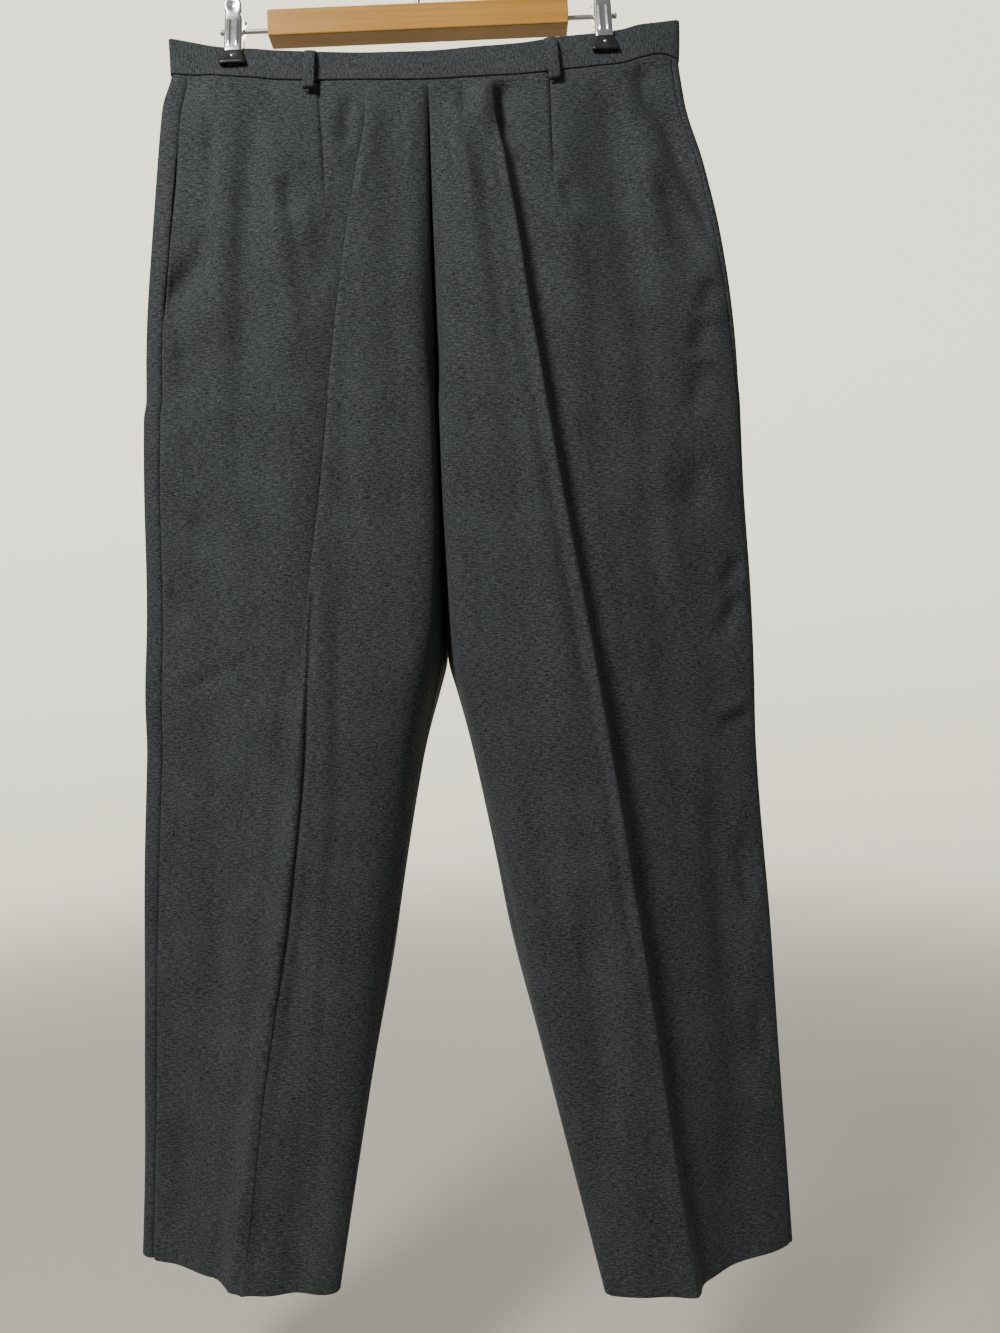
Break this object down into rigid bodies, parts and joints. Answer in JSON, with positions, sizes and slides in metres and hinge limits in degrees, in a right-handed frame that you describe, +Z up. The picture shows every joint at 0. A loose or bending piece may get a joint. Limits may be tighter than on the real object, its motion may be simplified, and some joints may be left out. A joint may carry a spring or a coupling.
{
  "type": "pleated dress trousers on a clip hanger",
  "caption": "Full length pleated dress trousers with pressed creases, hanging open and empty from the waistband, held by the clips of a wooden bar hanger with a wire hook.",
  "frame": {"origin": "inside top of the hanger's hook, where a rail carries it", "axes": "+Z up, +X towards the wearer's right, +Y towards the front of the trousers, so the back of the trousers faces -Y"},
  "size_m": [0.5578, 0.0958, 1.15],
  "materials": {
    "heather_wool": "matt woollen suiting with a fine heather fleck",
    "zip_tape_cloth": "plain woven tape",
    "bright_steel": "plated wire and small fittings",
    "chrome": "bright plated sheet",
    "dark_rubber": "smooth dark rubber",
    "light_wood": "clear lacquered light wood"
  },
  "bodies": {
    "root": {"back_panel_left": "heather_wool", "back_panel_right": "heather_wool", "belt_loop_back_left": "heather_wool", "belt_loop_back_right": "heather_wool", "belt_loop_front_left": "heather_wool", "belt_loop_front_right": "heather_wool", "clip_jaw_back_left": "chrome", "clip_jaw_back_right": "chrome", "clip_jaw_front_left": "chrome", "clip_jaw_front_right": "chrome", "clip_pad_back_left": "dark_rubber", "clip_pad_back_left_rivet": "chrome", "clip_pad_back_right": "dark_rubber", "clip_pad_back_right_rivet": "chrome", "clip_pad_front_left": "dark_rubber", "clip_pad_front_left_rivet": "chrome", "clip_pad_front_right": "dark_rubber", "clip_pad_front_right_rivet": "chrome", "clip_spring_left": "bright_steel", "clip_spring_right": "bright_steel", "front_panel_left": "heather_wool", "front_panel_right": "heather_wool", "hanger_bar": "light_wood", "hanger_hook": "bright_steel", "rod_left": "bright_steel", "rod_right": "bright_steel", "waist_bar": "bright_steel", "waist_hook": "bright_steel", "waistband_left": "heather_wool", "waistband_right": "heather_wool", "zip_slider": "bright_steel", "zip_tape": "zip_tape_cloth"}
  },
  "joints": []
}
